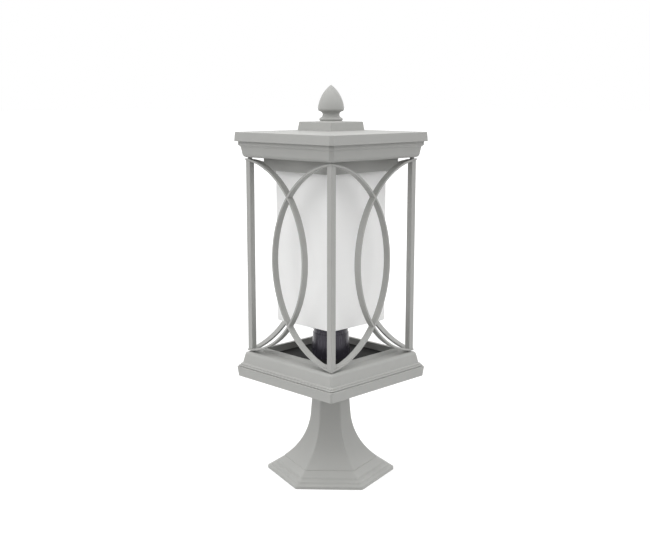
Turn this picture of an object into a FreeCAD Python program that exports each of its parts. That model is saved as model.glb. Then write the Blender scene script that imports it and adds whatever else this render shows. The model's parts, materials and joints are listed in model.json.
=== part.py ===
import FreeCAD, Part
import math
import os

# Pillar top light: a square lantern with bowed grilles on a six-sided flared pedestal.
# Millimetres and degrees. +Z is up, the foot stands on z = 0 and the lamp's axis is the Z axis.
# The lantern's four sides face +X, -X, +Y and -Y. Its front corner points to +X, -Y.

Vector = FreeCAD.Vector
lantern_sides = 4
pedestal_sides = 6

# Pedestal, as distances from the axis to a flat and heights above the ground
foot_half_width = 72.6
foot_rim_height = 4.0
foot_edge_round = 1.0
foot_steps = 2
foot_ledge_width = 4.6
foot_ledge_rise = 1.3
foot_ledge_round = 0.6
foot_step_width = 1.0
foot_step_rise = 2.5
foot_step_round = 0.8
foot_slope_width = 8.1
foot_slope_rise = 5.5
crease_step = 0.9
flare_knee_half_width = 25.7
flare_knee_height = 40.5
flare_round = 80.0
neck_half_width = 19.8
pedestal_height = 127.8
pedestal_wall = 4.5
pedestal_top_thickness = 4.0
pedestal_corner_cut = 0.7
pedestal_turn = 2.0

# Cage of posts and bowed strips
cage_half_width = 75.6
post_width = 7.6
post_length = 250.8
post_round = 0.7
post_neck_height = 1.4
post_neck_radius = 2.8
post_end_cover = 0.1
strip_thickness = 2.2
strip_depth = 8.6
bow_overlap = 26.7
bow_lead = 9.0

# Tray under the lantern
tray_fascia_height = 12.6
tray_fascia_taper = 1.3
tray_groove_depth = 2.6
tray_groove_rise = 0.5
tray_undercut_width = 1.3
tray_undercut_rise = 0.7
tray_lower_bead_lean = 0.5
tray_lower_bead_rise = 1.0
tray_ledge_width = 1.4
tray_ledge_rise = 0.4
tray_riser_height = 1.3
tray_upper_bead_width = 2.0
tray_upper_bead_rise = 1.2
tray_tier_lean = 3.0
tray_tier_margin = 3.1
tray_shoulder_round = 5.0
tray_edge_round = 0.4
tray_corner_cut = 1.4
tray_rim_thickness = 4.7
tray_wall = 2.5
tray_floor_thickness = 3.5
tray_seat_width = 5.3
lip_clearance = 4.7
lip_width = 4.0
lip_edge = 1.6
lip_height = 4.1

# Crown frame
crown_height = 28.0
crown_flange_thickness = 3.0
crown_foot_margin = 4.1
crown_foot_round = 5.5
crown_slope_lean = 1.9
crown_slope_height = 13.0
crown_step_width = 0.6
crown_step_height = 0.8
crown_lip_width = 1.8
crown_lip_rise = 1.6
crown_edge_round = 0.5
crown_corner_cut = 2.8
crown_wall = 3.2

# Roof cap and finial
roof_clearance = 0.5
fascia_wall = 2.7
fascia_lap = 8.0
fascia_flare = 0.8
fascia_round = 0.8
roof_thickness = 3.5
roof_rise = 1.9
roof_corner_cut = 2.5
roof_block_half_width = 30.0
roof_block_taper = 1.4
roof_block_height = 10.8
roof_block_wall = 3.5
finial_height = 44.0
finial_bud_radius = 16.3
finial_bud_height = 28.9
finial_bud_bulge = 3.4
finial_neck_radius = 10.5
finial_neck_height = 7.8
finial_ring_radius = 14.7
finial_ring_height = 4.0
finial_ring_inset = 1.3
finial_tip_radius = 0.9
finial_washer_thickness = 0.8

# Shade and its ring
ring_margin = 3.1
ring_drop = 16.0
ring_wall = 2.0
ring_clearance = 0.3
ring_gap = 1.1
shade_flange_width = 5.4
shade_flange_thickness = 2.5
shade_wall = 3.0
shade_corner_radius = 8.0
shade_edge_round = 0.9
shade_clearance = 0.6
shade_gap = 47.3
gasket_thickness = 1.0

# Roof fixing
bridge_thickness = 2.5
bridge_width = 22.0
stud_radius = 3.0
stud_engagement = 18.0
stud_tail = 2.0
stud_nut_flats = 10.0
stud_nut_thickness = 5.0

# Lamp plate and lampholder
plate_drop = 8.6
plate_thickness = 1.5
plate_clearance = 0.4
cup_base_radius = 25.2
cup_taper = 2.2
cup_height = 31.2
cup_wall = 2.4
cup_round = 1.0
collar_inset = 0.7
collar_height = 19.6
thread_radius = 13.4
thread_wall = 0.6
thread_length = 32.0
thread_recess = 3.0
socket_wall = 3.5
socket_floor_thickness = 8.0
contact_radius = 5.0
contact_thickness = 1.2
contact_gap = 0.8
nipple_radius = 5.0
nipple_wall = 1.5
nipple_tail = 1.0
nipple_engagement = 5.0
nipple_nut_flats = 14.0
nipple_nut_thickness = 4.0

# Tie rod and mounting strap
rod_radius = 5.0
rod_wall = 1.5
rod_tail = 1.0
rod_nut_flats = 16.0
rod_nut_thickness = 8.0
rod_washer_radius = 10.5
rod_washer_thickness = 2.0
strap_thickness = 3.0
strap_width = 30.0
strap_deck_height = 25.0
strap_deck_half_length = 31.0
strap_end_gap = 8.1
strap_bend_round = 2.0
strap_hole_radius = 3.5
strap_hole_inset = 12.0

# Wiring in the tray
terminal_length = 34.0
terminal_width = 16.0
terminal_gap = 4.5
terminal_pitch = 10.0
terminal_entry_depth = 6.0
terminal_screw_depth = 2.0
terminal_screw_spread = 4.5
terminal_skin = 0.3
lead_radius = 0.8
lead_bend = 4.0
lead_spread = 1.7
lead_gap = 2.1
lead_run_in = 8.0
earth_boss_radius = 4.0
earth_boss_height = 3.0
earth_boss_inset = 20.0
earth_tag_thickness = 1.0

# Small fixings and general clearances
screw_radius = 1.5
screw_head_radius = 2.7
screw_head_height = 2.0
screw_head_room = 0.5
screw_grip = 8.0
hole_clearance = 0.2
run_share = 0.98

# Levels, worked out from the ground up
tray_level = pedestal_height
tray_floor_level = tray_level + tray_floor_thickness
rod_nut_level = tray_floor_level + rod_washer_thickness
rod_top_level = rod_nut_level + rod_nut_thickness + rod_tail
lead_level = rod_top_level + lead_gap + lead_radius
nipple_low_level = lead_level + lead_bend
plate_seat_level = nipple_low_level + nipple_tail + nipple_nut_thickness
plate_level = plate_seat_level + plate_thickness
rim_level = plate_level + plate_drop
seat_level = rim_level - lip_height
channel_level = seat_level - tray_rim_thickness
crown_level = seat_level + post_length
cage_low_level = seat_level + post_neck_height
cage_high_level = crown_level - post_neck_height
flange_level = crown_level + crown_flange_thickness
crown_top_level = crown_level + crown_height
eaves_level = crown_top_level + roof_thickness
fascia_level = crown_top_level - fascia_lap
block_base_level = eaves_level + roof_rise
block_top_level = block_base_level + roof_block_height
finial_level = block_top_level + finial_washer_thickness
ring_bottom_level = crown_level - ring_drop
gasket_level = ring_bottom_level + ring_wall
shade_hang_level = gasket_level + gasket_thickness
shade_top_level = shade_hang_level + shade_flange_thickness
shade_bottom_level = plate_level + shade_gap
bridge_level = flange_level + ring_wall
bridge_top_level = bridge_level + bridge_thickness
cup_top_level = plate_level + cup_height
socket_top_level = cup_top_level + collar_height
thread_low_level = socket_top_level - thread_recess - thread_length
socket_floor_level = thread_low_level - contact_gap - contact_thickness
socket_base_level = socket_floor_level - socket_floor_thickness
nipple_top_level = socket_base_level + nipple_engagement
strap_nut_level = strap_deck_height - strap_thickness - rod_nut_thickness
earth_boss_level = tray_floor_level + earth_boss_height
earth_seat_level = earth_boss_level + earth_tag_thickness
earth_lead_level = earth_boss_level + earth_tag_thickness / 2
terminal_top_level = lead_level + lead_radius + terminal_skin + terminal_screw_depth

# Widths, as distances from the axis to a side
post_centre = cage_half_width - post_width / 2
post_inner = cage_half_width - post_width
lip_foot_half_width = post_inner - lip_clearance
opening_half_width = lip_foot_half_width - lip_width
well_half_width = opening_half_width - tray_seat_width
plate_screw_place = opening_half_width - screw_head_radius - screw_head_room
tier_half_width = cage_half_width + tray_tier_margin
ring_flange_half_width = post_centre - screw_head_radius - ring_margin
ring_screw_place = ring_flange_half_width - screw_head_radius - screw_head_room
ring_half_width = ring_screw_place - screw_head_radius - screw_head_room
ring_inner = ring_half_width - ring_wall
shade_flange_half_width = ring_inner - ring_gap
shade_half_width = shade_flange_half_width - shade_flange_width
shade_opening_half_width = shade_half_width + shade_clearance
crown_foot_half_width = cage_half_width + crown_foot_margin
crown_slope_half_width = crown_foot_half_width + crown_slope_lean
crown_step_half_width = crown_slope_half_width + crown_step_width
crown_lip_half_width = crown_step_half_width + crown_lip_width
fascia_inner = crown_lip_half_width + roof_clearance
fascia_half_width = fascia_inner + fascia_wall
strap_half_length = foot_half_width - pedestal_wall - strap_end_gap
strap_hole_place = strap_half_length - strap_hole_inset
cup_top_radius = cup_base_radius - cup_taper
collar_radius = cup_top_radius - collar_inset
thread_outer_radius = thread_radius + thread_wall
socket_radius = thread_outer_radius + socket_wall
nipple_bore_radius = nipple_radius - nipple_wall
rod_bore_radius = rod_radius - rod_wall

# Bowed strips: half ellipses, measured from the cage's middle level and from the ellipse's middle.
# The strip slopes across its post, and the post ends inside the strip.
cage_middle_level = (seat_level + crown_level) / 2
bow_middle = cage_half_width + bow_lead
bow_reach = bow_middle + bow_overlap
bow_end_rise = (cage_high_level - cage_low_level - strip_thickness) / 2
bow_half_height = bow_end_rise / math.sqrt(1 - (bow_lead / bow_reach) ** 2)
bow_inner_rise = bow_half_height * math.sqrt(1 - ((bow_lead + post_width) / bow_reach) ** 2)
post_end_rise = min(bow_end_rise, bow_inner_rise + strip_thickness / 2 - post_end_cover)

# Places in the tray's well and on the flanges
terminal_near = rod_washer_radius + terminal_gap
terminal_centre = terminal_near + terminal_width / 2
terminal_inside = terminal_near + terminal_entry_depth
lead_turn = terminal_near - lead_run_in
earth_place = well_half_width - earth_boss_inset
terminal_fixings = [(terminal_centre, terminal_pitch / 2), (terminal_centre, -terminal_pitch / 2)]
ring_fixings = [(0, ring_screw_place), (0, -ring_screw_place)]
bridge_fixings = [(ring_screw_place, 0), (-ring_screw_place, 0)]


def upright(x, z):
    return Vector(x, 0, z)


def four_corners(place):
    return [(place, -place), (place, place), (-place, place), (-place, -place)]


def tangent_lengths(corners, rounds):
    # How far each rounding reaches along its two runs, limited by the length of the runs
    lengths = [0.0] * len(corners)
    for place in range(1, len(corners) - 1):
        back = corners[place - 1].sub(corners[place])
        ahead = corners[place + 1].sub(corners[place])
        half_turn = (math.pi - back.getAngle(ahead)) / 2
        lengths[place] = rounds[place] * math.tan(half_turn)
    for place in range(len(corners) - 1):
        room = run_share * corners[place + 1].sub(corners[place]).Length
        wanted = lengths[place] + lengths[place + 1]
        if wanted > room:
            lengths[place] *= room / wanted
            lengths[place + 1] *= room / wanted
    return lengths


def rounded_path(corners, rounds):
    # Straight runs between the corners, joined by tangent arcs
    lengths = tangent_lengths(corners, rounds)
    edges = []
    here = corners[0]
    for place in range(1, len(corners) - 1):
        corner = corners[place]
        length = lengths[place]
        back = corners[place - 1].sub(corner).normalize()
        ahead = corners[place + 1].sub(corner).normalize()
        start = corner.add(Vector(back).multiply(length))
        end = corner.add(Vector(ahead).multiply(length))
        edges.append(Part.LineSegment(here, start).toShape())
        if length > 0:
            half_turn = (math.pi - back.getAngle(ahead)) / 2
            depth = length / math.sin(half_turn) - length / math.tan(half_turn)
            middle = corner.add(back.add(ahead).normalize().multiply(depth))
            edges.append(Part.Arc(start, middle, end).toShape())
        here = end
    edges.append(Part.LineSegment(here, corners[-1]).toShape())
    return edges


def prism(outline):
    # A long bar along Y, its section being the outline (x, z, round) and its mirror image
    corners = [upright(x, z) for x, z, turn in outline]
    rounds = [turn for x, z, turn in outline]
    right = rounded_path(corners, rounds)
    left = [edge.mirror(Vector(), Vector(1, 0, 0)) for edge in right]
    low = corners[0]
    high = corners[-1]
    bottom = Part.LineSegment(upright(-low.x, low.z), low).toShape()
    top = Part.LineSegment(upright(-high.x, high.z), high).toShape()
    wire = Part.Wire(Part.__sortEdges__([bottom, top] + right + left))
    reach = 2 * max(corner.x for corner in corners)
    bar = Part.Face(wire).extrude(Vector(0, 2 * reach, 0))
    bar.translate(Vector(0, -reach, 0))
    return bar


def turned(shape, degrees):
    copy = shape.copy()
    copy.rotate(Vector(), Vector(0, 0, 1), degrees)
    return copy


def moulding(outline, sides, corner_cut=0.0):
    # The same outline on every side, mitred at the corners, which are cut back a little
    step = 360 / sides
    stretch = 1 / math.cos(math.pi / sides)
    bars = [turned(prism(outline), step * side) for side in range(sides // 2)]
    if corner_cut > 0:
        cut_outline = [(x * stretch - corner_cut, z, turn) for x, z, turn in outline]
        bars += [turned(prism(cut_outline), step * (side + 1 / 2)) for side in range(sides // 2)]
    solid = bars[0]
    for bar in bars[1:]:
        solid = solid.common(bar)
    return solid.Solids[0]


def rod(radius, low, high, x=0.0, y=0.0):
    return Part.makeCylinder(radius, high - low, Vector(x, y, low))


def tube(radius, bore_radius, low, high):
    return rod(radius, low, high).cut(rod(bore_radius, low, high))


def plate(half_x, half_y, low, high, x=0.0, y=0.0):
    return Part.makeBox(2 * half_x, 2 * half_y, high - low, Vector(x - half_x, y - half_y, low))


def square(half_width, low, high):
    return plate(half_width, half_width, low, high)


def soft_square(half_width, corner_radius, low, high, x=0.0, y=0.0):
    block = plate(half_width, half_width, low, high, x, y)
    uprights = [edge for edge in block.Edges if edge.BoundBox.ZLength > (high - low) / 2]
    return block.makeFillet(corner_radius, uprights)


def nut(flats, thickness, bore_radius, low):
    corner = flats / 2 / math.cos(math.pi / 6)
    turns = [math.pi / 3 * place for place in range(7)]
    points = [Vector(corner * math.cos(turn), corner * math.sin(turn), low) for turn in turns]
    blank = Part.Face(Part.makePolygon(points)).extrude(Vector(0, 0, thickness))
    return blank.cut(rod(bore_radius, low, low + thickness))


def screw(x, y, seat, length, down=True):
    # A pan head screw whose head sits on the seat
    way = -1 if down else 1
    tip = seat + way * length
    top = seat - way * screw_head_height
    head = rod(screw_head_radius, min(seat, top), max(seat, top), x, y)
    shank = rod(screw_radius, min(seat, tip), max(seat, tip), x, y)
    return head.fuse(shank).removeSplitter()


def screws(places, seat, length, down=True):
    return Part.makeCompound([screw(x, y, seat, length, down) for x, y in places])


def drilled(solid, places, radius, low, high):
    for x, y in places:
        solid = solid.cut(rod(radius, low, high, x, y))
    return solid


def pedestal():
    outline = [(foot_half_width, 0, 0), (foot_half_width, foot_rim_height, foot_edge_round)]
    edge = foot_half_width
    level = foot_rim_height
    for step in range(foot_steps):
        edge -= foot_ledge_width
        level += foot_ledge_rise
        outline.append((edge, level, foot_ledge_round))
        edge -= foot_step_width
        level += foot_step_rise
        outline.append((edge, level, foot_step_round))
    crease = edge - foot_slope_width
    crease_level = level + foot_slope_rise
    outline += [
        (crease, crease_level, 0),
        (crease, crease_level + crease_step, 0),
        (flare_knee_half_width, flare_knee_height, flare_round),
        (neck_half_width, pedestal_height, 0),
    ]
    hollow = [
        (foot_half_width - pedestal_wall, 0, 0),
        (foot_half_width - pedestal_wall, foot_rim_height / 2, 0),
        (crease - pedestal_wall, crease_level, 0),
        (flare_knee_half_width - pedestal_wall, flare_knee_height, flare_round),
        (neck_half_width - pedestal_wall, pedestal_height - pedestal_top_thickness, 0),
    ]
    solid = moulding(outline, pedestal_sides, pedestal_corner_cut)
    solid = solid.cut(moulding(hollow, pedestal_sides))
    solid = solid.cut(rod(rod_radius + hole_clearance, 0, pedestal_height))
    front_corner = -45
    return turned(solid, front_corner - pedestal_turn)


def tray():
    # Widths from the tier's foot outwards, and levels from the fascia's top upwards
    tier_foot = tier_half_width + tray_tier_lean
    riser_edge = tier_foot + tray_upper_bead_width
    lower_bead_top = riser_edge + tray_ledge_width
    lower_bead_edge = lower_bead_top + tray_lower_bead_lean
    groove_edge = lower_bead_edge - tray_undercut_width
    fascia_edge = groove_edge + tray_groove_depth
    fascia_top_level = tray_level + tray_fascia_height
    groove_level = fascia_top_level + tray_groove_rise
    lower_bead_level = groove_level + tray_undercut_rise
    lower_bead_top_level = lower_bead_level + tray_lower_bead_rise
    riser_level = lower_bead_top_level + tray_ledge_rise
    upper_bead_level = riser_level + tray_riser_height
    tier_level = upper_bead_level + tray_upper_bead_rise
    outline = [
        (fascia_edge - tray_fascia_taper, tray_level, 0),
        (fascia_edge, fascia_top_level, tray_edge_round),
        (groove_edge, groove_level, 0),
        (lower_bead_edge, lower_bead_level, tray_edge_round / 2),
        (lower_bead_top, lower_bead_top_level, tray_edge_round),
        (riser_edge, riser_level, 0),
        (riser_edge, upper_bead_level, tray_edge_round),
        (tier_foot, tier_level, tray_edge_round),
        (tier_half_width, seat_level, tray_shoulder_round),
        (lip_foot_half_width, seat_level, 0),
        (opening_half_width + lip_edge, rim_level, 0),
    ]
    solid = moulding(outline, lantern_sides, tray_corner_cut)
    # The pocket for the lamp plate, the wiring well below it and the hollow under the rim
    solid = solid.cut(square(opening_half_width, plate_seat_level, rim_level))
    solid = solid.cut(square(well_half_width, tray_floor_level, plate_seat_level))
    channel = square(tier_half_width - tray_wall, tray_level, channel_level)
    channel = channel.cut(square(opening_half_width + tray_wall, tray_level, channel_level))
    solid = solid.cut(channel)
    solid = solid.fuse(rod(earth_boss_radius, tray_floor_level, earth_boss_level, 0, earth_place))
    solid = solid.cut(rod(screw_radius, tray_floor_level, earth_boss_level, 0, earth_place))
    solid = solid.cut(rod(rod_radius + hole_clearance, tray_level, tray_floor_level))
    loose = screw_radius + hole_clearance
    solid = drilled(solid, four_corners(post_centre), loose, channel_level, seat_level)
    screw_tip = plate_seat_level - screw_grip
    solid = drilled(solid, four_corners(plate_screw_place), screw_radius, screw_tip, plate_seat_level)
    return drilled(solid, terminal_fixings, screw_radius, tray_level, tray_floor_level)


def corner_post(x, y, sides):
    # A square post between the ends of the strips, with a short round neck through them at each end
    low = cage_middle_level - post_end_rise
    high = cage_middle_level + post_end_rise
    solid = soft_square(post_width / 2, post_round, low, high, x, y)
    solid = solid.fuse(rod(post_neck_radius, seat_level, crown_level, x, y))
    for side in sides:
        solid = solid.cut(side)
    solid = drilled(solid, [(x, y)], screw_radius, seat_level, seat_level + screw_grip)
    return drilled(solid, [(x, y)], screw_radius, crown_level - screw_grip, crown_level)


def ellipse_face(half_across, half_up):
    # A flat face in the XZ plane, whichever way the ellipse is longer
    across = Vector(half_across, 0, 0)
    up = Vector(0, 0, half_up)
    longer, shorter = (across, up) if half_across > half_up else (up, across)
    curve = Part.Ellipse(longer, shorter, Vector())
    return Part.Face(Part.Wire(curve.toShape()))


def front_quarter():
    # The wedge of space that belongs to one side, up to the mitre lines through the corners
    reach = 2 * cage_half_width
    points = [Vector(0, 0, seat_level), Vector(-reach, -reach, seat_level), Vector(reach, -reach, seat_level)]
    outline = Part.makePolygon(points + points[:1])
    return Part.Face(outline).extrude(Vector(0, 0, post_length))


def grille():
    # Two half ellipses of flat strip, one from each post, that cross twice and are one piece.
    # Each ellipse's middle lies a little outside its post, so its ends still rise where they meet the post.
    # The ends lie over and under the posts and are mitred at the corners.
    outer = ellipse_face(bow_reach + strip_thickness / 2, bow_half_height + strip_thickness / 2)
    inner = ellipse_face(bow_reach - strip_thickness / 2, bow_half_height - strip_thickness / 2)
    bow = outer.cut(inner).extrude(Vector(0, strip_depth, 0))
    bow.translate(Vector(-bow_middle, -post_centre - strip_depth / 2, cage_middle_level))
    other = bow.mirror(Vector(), Vector(1, 0, 0))
    solid = bow.fuse(other).common(front_quarter()).removeSplitter()
    neck_hole = post_neck_radius + hole_clearance
    return drilled(solid, four_corners(post_centre), neck_hole, seat_level, crown_level).Solids[0]


def crown_frame():
    slope_level = crown_level + crown_slope_height
    step_level = slope_level + crown_step_height
    outline = [
        (post_inner, crown_level, 0),
        (crown_foot_half_width, crown_level, crown_foot_round),
        (crown_slope_half_width, slope_level, crown_edge_round / 2),
        (crown_step_half_width, step_level, crown_edge_round / 2),
        (crown_lip_half_width, step_level + crown_lip_rise, crown_edge_round),
        (crown_lip_half_width, crown_top_level, 0),
    ]
    solid = moulding(outline, lantern_sides, crown_corner_cut)
    solid = solid.cut(square(crown_foot_half_width - crown_wall, flange_level, crown_top_level))
    solid = solid.cut(square(ring_half_width + ring_clearance, crown_level, flange_level))
    loose = screw_radius + hole_clearance
    solid = drilled(solid, four_corners(post_centre), loose, crown_level, flange_level)
    return drilled(solid, ring_fixings + bridge_fixings, screw_radius, crown_level, flange_level)


def shade_ring():
    solid = square(ring_half_width, ring_bottom_level, bridge_level)
    solid = solid.fuse(square(ring_flange_half_width, flange_level, bridge_level))
    solid = solid.cut(square(ring_inner, gasket_level, bridge_level))
    opening_radius = shade_corner_radius + shade_clearance
    opening = soft_square(shade_opening_half_width, opening_radius, ring_bottom_level, gasket_level)
    solid = solid.cut(opening)
    loose = screw_radius + hole_clearance
    return drilled(solid, ring_fixings + bridge_fixings, loose, flange_level, bridge_level)


def shade_gasket():
    opening_radius = shade_corner_radius + shade_clearance
    flange_radius = shade_corner_radius + shade_flange_width
    pad = soft_square(shade_flange_half_width, flange_radius, gasket_level, shade_hang_level)
    return pad.cut(soft_square(shade_opening_half_width, opening_radius, gasket_level, shade_hang_level))


def shade():
    flange_radius = shade_corner_radius + shade_flange_width
    inside_radius = max(shade_corner_radius - shade_wall, hole_clearance)
    solid = soft_square(shade_half_width, shade_corner_radius, shade_bottom_level, shade_top_level)
    flange = soft_square(shade_flange_half_width, flange_radius, shade_hang_level, shade_top_level)
    inside = soft_square(shade_half_width - shade_wall, inside_radius, shade_bottom_level, shade_top_level)
    solid = solid.fuse(flange).cut(inside).removeSplitter()
    low_edges = [edge for edge in solid.Edges if edge.BoundBox.ZMax < shade_bottom_level + shade_edge_round]
    return solid.makeFillet(min(shade_edge_round, shade_wall / 3), low_edges)


def roof_cap():
    slab_outline = [
        (fascia_half_width, fascia_level, 0),
        (fascia_half_width - fascia_flare, eaves_level, fascia_round),
        (roof_block_half_width, block_base_level, 0),
    ]
    block_top = roof_block_half_width - roof_block_taper
    block_inside = block_top - roof_block_wall
    block_outline = [
        (roof_block_half_width, block_base_level, 0),
        (block_top, block_top_level, fascia_round),
        (block_inside, block_top_level, 0),
    ]
    solid = moulding(slab_outline, lantern_sides, roof_corner_cut)
    solid = solid.fuse(moulding(block_outline, lantern_sides, fascia_round))
    solid = solid.cut(square(fascia_inner, fascia_level, crown_top_level))
    solid = solid.cut(square(block_inside, crown_top_level, block_top_level - roof_block_wall))
    return solid.cut(rod(stud_radius + hole_clearance, crown_top_level, block_top_level))


def finial_washer():
    radius = finial_ring_radius - finial_ring_inset
    return tube(radius, stud_radius + hole_clearance, block_top_level, finial_level)


def finial():
    ring_top = finial_level + finial_ring_height
    neck_level = finial_level + finial_neck_height
    bud_bottom = 2 * neck_level - ring_top
    tip_level = finial_level + finial_height
    bud_level = tip_level - finial_bud_height
    bud_rise = bud_level - bud_bottom
    ring_foot = upright(finial_ring_radius - finial_ring_inset, finial_level)
    ring_side = upright(finial_ring_radius, (finial_level + ring_top) / 2)
    ring_head = upright(finial_ring_radius - finial_ring_inset, ring_top)
    neck = upright(finial_neck_radius, neck_level)
    bud_foot = upright((finial_bud_radius + finial_neck_radius) / 2, bud_bottom)
    bud_under = upright(finial_bud_radius - bud_rise / 6, bud_bottom + bud_rise / 3)
    bud_side = upright(finial_bud_radius, bud_level)
    tip_side = upright(finial_tip_radius, tip_level - finial_tip_radius / 2)
    tip = upright(0, tip_level)
    outward = Vector(finial_bud_height, 0, finial_bud_radius).normalize().multiply(finial_bud_bulge)
    belly = bud_side.add(tip_side).multiply(1 / 2).add(outward)
    foot = upright(0, finial_level)
    edges = [
        Part.LineSegment(foot, ring_foot).toShape(),
        Part.Arc(ring_foot, ring_side, ring_head).toShape(),
        Part.Arc(ring_head, neck, bud_foot).toShape(),
        Part.Arc(bud_foot, bud_under, bud_side).toShape(),
        Part.Arc(bud_side, belly, tip_side).toShape(),
        Part.LineSegment(tip_side, tip).toShape(),
        Part.LineSegment(tip, foot).toShape(),
    ]
    solid = Part.Face(Part.Wire(edges)).revolve(Vector(), Vector(0, 0, 1), 360)
    return solid.cut(rod(stud_radius, finial_level, finial_level + stud_engagement))


def roof_bridge():
    solid = plate(ring_flange_half_width, bridge_width / 2, bridge_level, bridge_top_level)
    solid = solid.cut(rod(stud_radius + hole_clearance, bridge_level, bridge_top_level))
    return drilled(solid, bridge_fixings, screw_radius + hole_clearance, bridge_level, bridge_top_level)


def roof_stud():
    low = bridge_level - stud_nut_thickness - stud_tail
    return rod(stud_radius, low, finial_level + stud_engagement)


def roof_stud_nuts():
    under = nut(stud_nut_flats, stud_nut_thickness, stud_radius, bridge_level - stud_nut_thickness)
    over = nut(stud_nut_flats, stud_nut_thickness, stud_radius, bridge_top_level)
    return Part.makeCompound([under, over])


def lamp_plate():
    solid = square(opening_half_width - plate_clearance, plate_seat_level, plate_level)
    solid = solid.cut(rod(nipple_radius, plate_seat_level, plate_level))
    loose = screw_radius + hole_clearance
    return drilled(solid, four_corners(plate_screw_place), loose, plate_seat_level, plate_level)


def lampholder_cup():
    outside = Part.makeCone(cup_base_radius, cup_top_radius, cup_height, Vector(0, 0, plate_level))
    inside = Part.makeCone(cup_base_radius - cup_wall, cup_top_radius - cup_wall, cup_height,
                           Vector(0, 0, plate_level))
    floor = rod(cup_base_radius, plate_level, plate_level + cup_wall).common(outside)
    rims = [edge for edge in outside.Edges if edge.BoundBox.ZMin > (plate_level + cup_top_level) / 2]
    rounded = outside.makeFillet(min(cup_round, collar_inset / 2), rims[:1])
    solid = rounded.cut(inside).fuse(floor).removeSplitter()
    return solid.cut(rod(nipple_radius, plate_level, plate_level + cup_wall))


def lampholder_body():
    # A domed collar over the cup's rim, around the socket
    dome = Part.makeSphere(collar_radius, Vector(0, 0, cup_top_level))
    solid = dome.common(rod(collar_radius, cup_top_level, socket_top_level))
    solid = solid.fuse(rod(socket_radius, socket_base_level, socket_top_level))
    solid = solid.cut(rod(thread_outer_radius, socket_floor_level, socket_top_level))
    return solid.cut(rod(nipple_radius, socket_base_level, nipple_top_level))


def lampholder_thread():
    return tube(thread_outer_radius, thread_radius, thread_low_level, thread_low_level + thread_length)


def lampholder_contact():
    return rod(contact_radius, socket_floor_level, socket_floor_level + contact_thickness)


def lampholder_nipple():
    return tube(nipple_radius, nipple_bore_radius, nipple_low_level, nipple_top_level)


def lampholder_nut():
    low = plate_seat_level - nipple_nut_thickness
    return nut(nipple_nut_flats, nipple_nut_thickness, nipple_radius, low)


def tie_rod():
    return tube(rod_radius, rod_bore_radius, strap_nut_level - rod_tail, rod_top_level)


def tie_rod_nuts():
    levels = (strap_nut_level, strap_deck_height, rod_nut_level)
    return Part.makeCompound([nut(rod_nut_flats, rod_nut_thickness, rod_radius, low) for low in levels])


def tie_rod_washer():
    return tube(rod_washer_radius, rod_radius, tray_floor_level, rod_nut_level)


def mounting_strap():
    # A flat bar cranked up in the middle, with a fixing hole in each foot
    outer_bend = strap_bend_round + strap_thickness
    leg_inside = strap_deck_half_length - strap_thickness
    deck_under = strap_deck_height - strap_thickness
    right = [
        (leg_inside, deck_under, strap_bend_round),
        (leg_inside, 0, outer_bend),
        (strap_half_length, 0, 0),
        (strap_half_length, strap_thickness, 0),
        (strap_deck_half_length, strap_thickness, strap_bend_round),
        (strap_deck_half_length, strap_deck_height, outer_bend),
    ]
    left = [(-x, z, turn) for x, z, turn in reversed(right)]
    middle = [(0, deck_under, 0)]
    outline = middle + right + left + middle
    corners = [upright(x, z) for x, z, turn in outline]
    rounds = [turn for x, z, turn in outline]
    solid = Part.Face(Part.Wire(rounded_path(corners, rounds))).extrude(Vector(0, strap_width, 0))
    solid.translate(Vector(0, -strap_width / 2, 0))
    solid = solid.cut(rod(rod_radius + hole_clearance, deck_under, strap_deck_height))
    holes = [(-strap_hole_place, 0), (strap_hole_place, 0)]
    return drilled(solid, holes, strap_hole_radius, 0, strap_thickness)


def terminal_screw_places():
    poles = (-terminal_pitch, 0, terminal_pitch)
    rows = (terminal_centre - terminal_screw_spread, terminal_centre + terminal_screw_spread)
    return [(x, y) for x in rows for y in poles]


def terminal_block():
    solid = plate(terminal_width / 2, terminal_length / 2, tray_floor_level, terminal_top_level,
                  terminal_centre)
    poles = [(-terminal_pitch, lead_level), (0, lead_level), (terminal_pitch, earth_lead_level)]
    for y, level in poles:
        mouth = Vector(terminal_near, y, level)
        solid = solid.cut(Part.makeCylinder(lead_radius, terminal_entry_depth, mouth, Vector(1, 0, 0)))
    well_low = terminal_top_level - terminal_screw_depth
    solid = drilled(solid, terminal_screw_places(), screw_radius, well_low, terminal_top_level)
    loose = screw_radius + hole_clearance
    return drilled(solid, terminal_fixings, loose, tray_floor_level, terminal_top_level)


def terminal_screws():
    low = terminal_top_level - terminal_screw_depth
    return Part.makeCompound([rod(screw_radius, low, terminal_top_level, x, y)
                              for x, y in terminal_screw_places()])


def lead(corners):
    spine = Part.Wire(rounded_path(corners, [lead_bend] * len(corners)))
    start = corners[1].sub(corners[0])
    ring = Part.Wire(Part.makeCircle(lead_radius, corners[0], start))
    return spine.makePipeShell([ring], True, False)


def lamp_lead(y, pole):
    return lead([
        Vector(0, y, nipple_top_level),
        Vector(0, y, lead_level),
        Vector(lead_turn, pole, lead_level),
        Vector(terminal_inside, pole, lead_level),
    ])


def earth_lead():
    inside = Vector(terminal_inside, terminal_pitch, earth_lead_level)
    bend = Vector(terminal_near - lead_run_in / 2, terminal_pitch, earth_lead_level)
    boss = Vector(0, earth_place, earth_lead_level)
    way = bend.sub(boss).normalize()
    return lead([inside, bend, boss.add(way.multiply(earth_boss_radius))])


def earth_tag():
    ring = rod(earth_boss_radius, earth_boss_level, earth_seat_level, 0, earth_place)
    return ring.cut(rod(screw_radius + hole_clearance, earth_boss_level, earth_seat_level, 0, earth_place))


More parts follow.
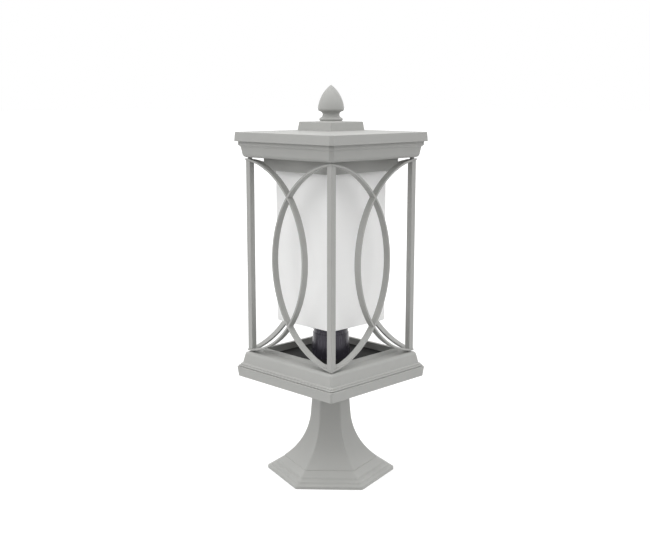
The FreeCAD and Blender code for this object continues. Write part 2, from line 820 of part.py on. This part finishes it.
nodes = {
    "pedestal": pedestal(),
    "tray": tray(),
    "crown_frame": crown_frame(),
    "shade_ring": shade_ring(),
    "shade_gasket": shade_gasket(),
    "shade": shade(),
    "roof_cap": roof_cap(),
    "finial_washer": finial_washer(),
    "finial": finial(),
    "roof_bridge": roof_bridge(),
    "roof_stud": roof_stud(),
    "roof_stud_nuts": roof_stud_nuts(),
    "lamp_plate": lamp_plate(),
    "lampholder_cup": lampholder_cup(),
    "lampholder_body": lampholder_body(),
    "lampholder_thread": lampholder_thread(),
    "lampholder_contact": lampholder_contact(),
    "lampholder_nipple": lampholder_nipple(),
    "lampholder_nut": lampholder_nut(),
    "tie_rod": tie_rod(),
    "tie_rod_nuts": tie_rod_nuts(),
    "tie_rod_washer": tie_rod_washer(),
    "mounting_strap": mounting_strap(),
    "terminal_block": terminal_block(),
    "terminal_screws": terminal_screws(),
    "live_lead": lamp_lead(-lead_spread, -terminal_pitch),
    "neutral_lead": lamp_lead(lead_spread, 0),
    "earth_lead": earth_lead(),
    "earth_tag": earth_tag(),
}

# Screws: each set by its places, its seat and the thickness it passes through
upper_length = crown_flange_thickness + screw_grip
lower_length = tray_rim_thickness + screw_grip
ring_length = ring_wall + crown_flange_thickness
bridge_length = bridge_thickness + ring_length
plate_length = plate_thickness + screw_grip
block_length = terminal_top_level - tray_level
earth_length = earth_seat_level - tray_floor_level
posts = four_corners(post_centre)
nodes["post_screws_upper"] = screws(posts, flange_level, upper_length)
nodes["post_screws_lower"] = screws(posts, channel_level, lower_length, False)
nodes["shade_ring_screws"] = screws(ring_fixings, bridge_level, ring_length)
nodes["roof_bridge_screws"] = screws(bridge_fixings, bridge_top_level, bridge_length)
nodes["lamp_plate_screws"] = screws(four_corners(plate_screw_place), plate_level, plate_length)
nodes["terminal_block_screws"] = screws(terminal_fixings, terminal_top_level, block_length)
nodes["earth_screw"] = screw(0, earth_place, earth_seat_level, earth_length)

post_names = ("front", "right", "back", "left")
side_names = ("front_left", "front_right", "back_right", "back_left")
first_side = grille()
sides = [turned(first_side, 360 / lantern_sides * place) for place in range(lantern_sides)]
for name, side in zip(side_names, sides):
    nodes["grille_" + name] = side
for name, (x, y) in zip(post_names, posts):
    nodes["corner_post_" + name] = corner_post(x, y, sides)

os.makedirs("parts", exist_ok=True)
for name, shape in nodes.items():
    shape.exportStep("parts/" + name + ".step")
    print(name, len(shape.Solids), "solids, valid:", shape.isValid())
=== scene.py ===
import json
import math

import bpy
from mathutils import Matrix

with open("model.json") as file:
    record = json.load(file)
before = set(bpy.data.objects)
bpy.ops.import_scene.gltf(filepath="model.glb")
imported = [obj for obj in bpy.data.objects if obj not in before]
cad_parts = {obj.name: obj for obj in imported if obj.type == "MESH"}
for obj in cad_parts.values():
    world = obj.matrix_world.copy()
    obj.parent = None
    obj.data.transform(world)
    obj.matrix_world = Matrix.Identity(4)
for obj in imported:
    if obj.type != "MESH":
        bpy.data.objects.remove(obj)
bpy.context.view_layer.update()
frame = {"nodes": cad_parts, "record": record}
nodes = frame["nodes"]
scene = bpy.context.scene
print("frame loaded:", len(nodes), "nodes")

white = (1.0, 1.0, 1.0, 1.0)


# small helpers for the node trees
def emptyTree(owner):
    owner.use_nodes = True
    owner.node_tree.nodes.clear()
    return owner.node_tree


def addNode(tree, kind, **values):
    node = tree.nodes.new(kind)
    for key, value in values.items():
        setattr(node, key, value)
    return node


def feed(tree, socket, source):
    # a number stays on the socket itself, an output is linked to it
    if isinstance(source, (int, float)):
        socket.default_value = source
    else:
        tree.links.new(source, socket)


def mathNode(tree, operation, first, second):
    node = addNode(tree, "ShaderNodeMath", operation=operation)
    feed(tree, node.inputs[0], first)
    feed(tree, node.inputs[1], second)
    return node.outputs[0]


def noiseOn(tree, vector, scale, detail):
    node = addNode(tree, "ShaderNodeTexNoise")
    node.inputs["Detail"].default_value = detail
    feed(tree, node.inputs["Scale"], scale)
    tree.links.new(vector, node.inputs["Vector"])
    return node.outputs["Fac"]


def aroundZero(tree, noise):
    # noise lies between 0 and 1, around a half
    return mathNode(tree, "SUBTRACT", noise, 0.5)


# what both finish groups take and give
finishInputs = {
    "Vector": "NodeSocketVector",
    "Tone": "NodeSocketColor",
    "Spread": "NodeSocketFloat",
    "Roughness": "NodeSocketFloat",
}
finishOutputs = {
    "Color": "NodeSocketColor",
    "Roughness": "NodeSocketFloat",
    "Height": "NodeSocketFloat",
}


def startGroup(name, inputs):
    group = bpy.data.node_groups.new(name, "ShaderNodeTree")
    for socketName, kind in inputs.items():
        group.interface.new_socket(name=socketName, in_out="INPUT", socket_type=kind)
    for socketName, kind in finishOutputs.items():
        group.interface.new_socket(name=socketName, in_out="OUTPUT", socket_type=kind)
    return group, addNode(group, "NodeGroupInput")


def endGroup(group, start, toneChange, roughChange, height):
    # the tone is made lighter or darker by a factor around 1
    change = mathNode(group, "MULTIPLY", toneChange, start.outputs["Spread"])
    mix = addNode(group, "ShaderNodeVectorMath", operation="SCALE")
    group.links.new(start.outputs["Tone"], mix.inputs[0])
    group.links.new(mathNode(group, "ADD", change, 1.0), mix.inputs["Scale"])
    rough = mathNode(group, "ADD", start.outputs["Roughness"], roughChange)
    end = addNode(group, "NodeGroupOutput")
    group.links.new(mix.outputs[0], end.inputs["Color"])
    group.links.new(rough, end.inputs["Roughness"])
    group.links.new(height, end.inputs["Height"])


# powder coat: a fine orange peel over slow, cloudy changes of tone; scales are per metre
coatGrain = {
    "peelScale": 950.0,     # about a millimetre
    "peelDetail": 2.0,
    "peelShare": 0.35,
    "cloudScale": 38.0,
    "cloudDetail": 3.0,
    "cloudRoughness": 0.2,
    "rippleScale": 120.0,   # the casting under the paint
    "rippleDetail": 2.0,
    "rippleHeight": 3.0,
}


def buildCoatGroup():
    group, start = startGroup("powderCoat", finishInputs)
    vector = start.outputs["Vector"]
    peel = noiseOn(group, vector, coatGrain["peelScale"], coatGrain["peelDetail"])
    cloud = noiseOn(group, vector, coatGrain["cloudScale"], coatGrain["cloudDetail"])
    ripple = noiseOn(group, vector, coatGrain["rippleScale"], coatGrain["rippleDetail"])
    peelTone = mathNode(group, "MULTIPLY", aroundZero(group, peel), coatGrain["peelShare"])
    cloudTone = aroundZero(group, cloud)
    toneChange = mathNode(group, "ADD", cloudTone, peelTone)
    roughChange = mathNode(group, "MULTIPLY", cloudTone, coatGrain["cloudRoughness"])
    height = mathNode(group, "ADD", peel, mathNode(group, "MULTIPLY", ripple, coatGrain["rippleHeight"]))
    endGroup(group, start, toneChange, roughChange, height)
    return group


# long streaks along Z, for drawn metal and for moulded plastic with draw marks
drawMark = {
    "stretch": (1.0, 1.0, 0.04),
    "detail": 3.0,
    "roughness": 0.15,
}


def buildStreakGroup():
    group, start = startGroup("drawMarks", {**finishInputs, "Fineness": "NodeSocketFloat"})
    squeeze = addNode(group, "ShaderNodeMapping")
    squeeze.inputs["Scale"].default_value = drawMark["stretch"]
    group.links.new(start.outputs["Vector"], squeeze.inputs["Vector"])
    streak = noiseOn(group, squeeze.outputs["Vector"], start.outputs["Fineness"], drawMark["detail"])
    mark = aroundZero(group, streak)
    roughChange = mathNode(group, "MULTIPLY", mark, drawMark["roughness"])
    endGroup(group, start, mark, roughChange, streak)
    return group


coatGroup = buildCoatGroup()
streakGroup = buildStreakGroup()

# what a look has unless it says otherwise; lengths are in metres
plainLook = {
    "edge": 0.0,
    "edgeSamples": 4,
    "metallic": 0.0,
    "specular": 0.5,
    "tint": (1.0, 1.0, 1.0),
    "coat": 0.0,
    "coatRoughness": 0.1,
}


def reliefNormal(tree, height, look):
    # the bump over the shape's own edges, which are softened where a look has an edge radius
    bump = addNode(tree, "ShaderNodeBump")
    bump.inputs["Strength"].default_value = look["relief"]
    bump.inputs["Distance"].default_value = look["depth"]
    tree.links.new(height, bump.inputs["Height"])
    if look["edge"] > 0.0:
        soften = addNode(tree, "ShaderNodeBevel", samples=look["edgeSamples"])
        soften.inputs["Radius"].default_value = look["edge"]
        tree.links.new(soften.outputs["Normal"], bump.inputs["Normal"])
    return bump.outputs["Normal"]


def finishFrom(group, name, ownLook):
    # a material whose tone, roughness and relief come from one of the groups
    look = {**plainLook, **ownLook}
    material = bpy.data.materials.new(name)
    tree = emptyTree(material)
    place = addNode(tree, "ShaderNodeTexCoord")
    effect = addNode(tree, "ShaderNodeGroup", node_tree=group)
    tree.links.new(place.outputs["Object"], effect.inputs["Vector"])
    effect.inputs["Tone"].default_value = (*look["tone"], 1.0)
    effect.inputs["Spread"].default_value = look["spread"]
    effect.inputs["Roughness"].default_value = look["roughness"]
    if "fineness" in look:
        effect.inputs["Fineness"].default_value = look["fineness"]
    shader = addNode(tree, "ShaderNodeBsdfPrincipled")
    tree.links.new(effect.outputs["Color"], shader.inputs["Base Color"])
    tree.links.new(effect.outputs["Roughness"], shader.inputs["Roughness"])
    tree.links.new(reliefNormal(tree, effect.outputs["Height"], look), shader.inputs["Normal"])
    shader.inputs["Metallic"].default_value = look["metallic"]
    shader.inputs["Specular IOR Level"].default_value = look["specular"]
    shader.inputs["Specular Tint"].default_value = (*look["tint"], 1.0)
    shader.inputs["Coat Weight"].default_value = look["coat"]
    shader.inputs["Coat Roughness"].default_value = look["coatRoughness"]
    output = addNode(tree, "ShaderNodeOutputMaterial")
    tree.links.new(shader.outputs["BSDF"], output.inputs["Surface"])
    return material


paintLook = {
    "tone": (0.380, 0.381, 0.367), "spread": 0.10, "roughness": 0.52,
    "relief": 0.30, "depth": 0.00006, "edge": 0.0002, "specular": 0.4,
}
shadeLook = {
    "tone": (0.935, 0.935, 0.93), "spread": 0.02, "roughness": 0.60,
    "relief": 0.05, "depth": 0.00005, "specular": 0.4,
}
cupLook = {
    "tone": (0.028, 0.026, 0.036), "spread": 0.6, "roughness": 0.26, "fineness": 420.0,
    "relief": 0.25, "depth": 0.00005, "tint": (0.90, 0.86, 1.0), "coat": 0.2, "coatRoughness": 0.22,
}
plateLook = {
    "tone": (0.010, 0.010, 0.010), "spread": 0.3, "roughness": 0.6,
    "relief": 0.3, "depth": 0.00005, "specular": 0.2,
}
steelLook = {
    "tone": (0.60, 0.60, 0.58), "spread": 0.25, "roughness": 0.34, "fineness": 700.0,
    "relief": 0.15, "depth": 0.00003, "metallic": 1.0,
}
brassLook = {
    "tone": (0.72, 0.53, 0.24), "spread": 0.2, "roughness": 0.28, "fineness": 700.0,
    "relief": 0.1, "depth": 0.00003, "metallic": 1.0,
}
rubberLook = {
    "tone": (0.03, 0.03, 0.03), "spread": 0.3, "roughness": 0.75,
    "relief": 0.3, "depth": 0.00005,
}
terminalLook = {
    "tone": (0.78, 0.78, 0.75), "spread": 0.06, "roughness": 0.45,
    "relief": 0.1, "depth": 0.00003,
}
leadLook = {"spread": 0.15, "roughness": 0.42, "relief": 0.1, "depth": 0.00003}
leadTones = {
    "brown": (0.12, 0.05, 0.02),
    "blue": (0.03, 0.08, 0.35),
    "green": (0.10, 0.35, 0.06),
}

finishes = {
    "grey_paint": finishFrom(coatGroup, "greyPowderCoat", paintLook),
    "opal_shade": finishFrom(coatGroup, "opalShade", shadeLook),
    "black_gloss": finishFrom(streakGroup, "blackLampholderGloss", cupLook),
    "black_matte": finishFrom(coatGroup, "blackPlateMatte", plateLook),
    "zinc_steel": finishFrom(streakGroup, "zincPlatedSteel", steelLook),
    "brass": finishFrom(streakGroup, "plainBrass", brassLook),
    "gasket_rubber": finishFrom(coatGroup, "gasketRubber", rubberLook),
    "terminal_white": finishFrom(coatGroup, "terminalWhite", terminalLook),
    "lead_brown": finishFrom(coatGroup, "leadBrown", {**leadLook, "tone": leadTones["brown"]}),
    "lead_blue": finishFrom(coatGroup, "leadBlue", {**leadLook, "tone": leadTones["blue"]}),
    "lead_green": finishFrom(coatGroup, "leadGreen", {**leadLook, "tone": leadTones["green"]}),
}

for row in frame["record"]["subparts"]:
    piece = nodes[row["node"]]
    piece.data.materials.clear()
    piece.data.materials.append(finishes[row["material_slot"]])
print("finishes on:", len(finishes), "slots")


# studio: a white tent, darker towards the camera, over a pale floor, and large soft lamps above
studio = {
    "tentLight": 0.92,       # what the object receives from its sides
    "tentLean": 0.82,        # less from the front, more from behind
    "tentLeft": 0.04,        # a little more from the left
    "tentLeast": 0.05,
    "tentSeen": 1.0,         # the white that the camera and mirrors see
    "frontWay": (0.7071, -0.7071, 0.0),
    "leftWay": (-0.7071, -0.7071, 0.0),
    "floorSize": 60.0,
    "floorToneNear": 0.73,
    "floorToneFar": 0.32,
    "toneFar": 0.9,          # metres from the lantern's axis
    "floorGlowNear": 0.35,   # only what the camera and mirrors see
    "floorGlowFar": 0.95,
    "glowFar": 1.2,
    "fadeStart": 0.25,
    "middle": (0.0, 0.0, 0.25),
    "lampDistance": 2.0,
    "lampSize": 2.4,
    "lamps": {
        "leftLamp": {"azimuth": -115.0, "elevation": 42.0, "power": 17.8},
        "rightLamp": {"azimuth": 25.0, "elevation": 42.0, "power": 13.0},
        "frontLamp": {"azimuth": -45.0, "elevation": 58.0, "power": 18.5},
    },
}


def seenDirectly(tree):
    # 1 where the camera, a mirror or glass looks straight at the surface
    path = addNode(tree, "ShaderNodeLightPath")
    mirrored = mathNode(tree, "MAXIMUM", path.outputs["Is Glossy Ray"], path.outputs["Is Transmission Ray"])
    return mathNode(tree, "MAXIMUM", path.outputs["Is Camera Ray"], mirrored)


def alongWay(tree, direction, way):
    node = addNode(tree, "ShaderNodeVectorMath", operation="DOT_PRODUCT")
    tree.links.new(direction, node.inputs[0])
    node.inputs[1].default_value = way
    return node.outputs["Value"]


def whiteLight(tree, kind, strength):
    node = addNode(tree, kind)
    node.inputs["Color"].default_value = white
    feed(tree, node.inputs["Strength"], strength)
    return node.outputs[0]


def buildWorld():
    world = bpy.data.worlds.new("studioTent")
    scene.world = world
    tree = emptyTree(world)
    direction = addNode(tree, "ShaderNodeTexCoord").outputs["Generated"]
    front = mathNode(tree, "MULTIPLY", alongWay(tree, direction, studio["frontWay"]), studio["tentLean"])
    left = mathNode(tree, "MULTIPLY", alongWay(tree, direction, studio["leftWay"]), studio["tentLeft"])
    level = mathNode(tree, "ADD", mathNode(tree, "SUBTRACT", left, front), studio["tentLight"])
    strength = mathNode(tree, "MAXIMUM", level, studio["tentLeast"])
    mix = addNode(tree, "ShaderNodeMixShader")
    tree.links.new(seenDirectly(tree), mix.inputs["Fac"])
    tree.links.new(whiteLight(tree, "ShaderNodeBackground", strength), mix.inputs[1])
    tree.links.new(whiteLight(tree, "ShaderNodeBackground", studio["tentSeen"]), mix.inputs[2])
    output = addNode(tree, "ShaderNodeOutputWorld")
    tree.links.new(mix.outputs[0], output.inputs["Surface"])


def fadeOut(tree, reach, farReach, nearLevel, farLevel):
    # a level that changes smoothly with the distance from the lantern
    fade = addNode(tree, "ShaderNodeMapRange", interpolation_type="SMOOTHSTEP")
    fade.inputs["From Min"].default_value = studio["fadeStart"]
    fade.inputs["From Max"].default_value = farReach
    fade.inputs["To Min"].default_value = nearLevel
    fade.inputs["To Max"].default_value = farLevel
    tree.links.new(reach.outputs["Value"], fade.inputs["Value"])
    return fade.outputs["Result"]


def floorMaterial():
    # a matte tone, and a glow that only the camera and mirrors see
    material = bpy.data.materials.new("studioFloorWhite")
    tree = emptyTree(material)
    place = addNode(tree, "ShaderNodeTexCoord")
    reach = addNode(tree, "ShaderNodeVectorMath", operation="LENGTH")
    tree.links.new(place.outputs["Object"], reach.inputs[0])
    matte = addNode(tree, "ShaderNodeBsdfDiffuse")
    tone = fadeOut(tree, reach, studio["toneFar"], studio["floorToneNear"], studio["floorToneFar"])
    tree.links.new(tone, matte.inputs["Color"])
    level = fadeOut(tree, reach, studio["glowFar"], studio["floorGlowNear"], studio["floorGlowFar"])
    strength = mathNode(tree, "MULTIPLY", seenDirectly(tree), level)
    both = addNode(tree, "ShaderNodeAddShader")
    tree.links.new(matte.outputs[0], both.inputs[0])
    tree.links.new(whiteLight(tree, "ShaderNodeEmission", strength), both.inputs[1])
    output = addNode(tree, "ShaderNodeOutputMaterial")
    tree.links.new(both.outputs[0], output.inputs["Surface"])
    return material


def buildFloor():
    bpy.ops.object.select_all(action="DESELECT")
    bpy.ops.mesh.primitive_plane_add(size=studio["floorSize"], location=(0.0, 0.0, 0.0))
    floor = bpy.context.object
    floor.name = "studioFloor"
    floor.data.materials.append(floorMaterial())


def addSoftLamp(name, azimuth, elevation, power):
    data = bpy.data.lights.new(name, "AREA")
    data.shape = "SQUARE"
    data.size = studio["lampSize"]
    data.energy = power
    lamp = bpy.data.objects.new(name, data)
    scene.collection.objects.link(lamp)
    turn = math.radians(azimuth)
    lift = math.radians(elevation)
    flat = studio["lampDistance"] * math.cos(lift)
    rise = studio["lampDistance"] * math.sin(lift)
    middle = studio["middle"]
    lamp.location = (middle[0] + flat * math.cos(turn), middle[1] + flat * math.sin(turn), middle[2] + rise)
    lamp.rotation_euler = (math.pi / 2 - lift, 0.0, turn + math.pi / 2)   # faces the middle


buildWorld()
buildFloor()
for lampName, settings in studio["lamps"].items():
    addSoftLamp(lampName, **settings)
print("studio built:", len(studio["lamps"]), "lamps")


# camera at the photograph's eye point
view = {
    "eye": (0.86046, -0.87106, 0.48521),
    "turn": 45.0,
    "tilt": 10.4126,     # degrees down
    "lens": 53.81,
    "sensor": 36.0,
    "clipStart": 0.05,
    "clipEnd": 50.0,
}
cameraData = bpy.data.cameras.new("photoCamera")
cameraData.sensor_fit = "HORIZONTAL"
cameraData.sensor_width = view["sensor"]
cameraData.lens = view["lens"]
cameraData.clip_start = view["clipStart"]
cameraData.clip_end = view["clipEnd"]
camera = bpy.data.objects.new("photoCamera", cameraData)
scene.collection.objects.link(camera)
camera.location = view["eye"]
camera.rotation_euler = (math.radians(90.0 - view["tilt"]), 0.0, math.radians(view["turn"]))
scene.camera = camera
scene.view_settings.view_transform = "Standard"
print("camera set")
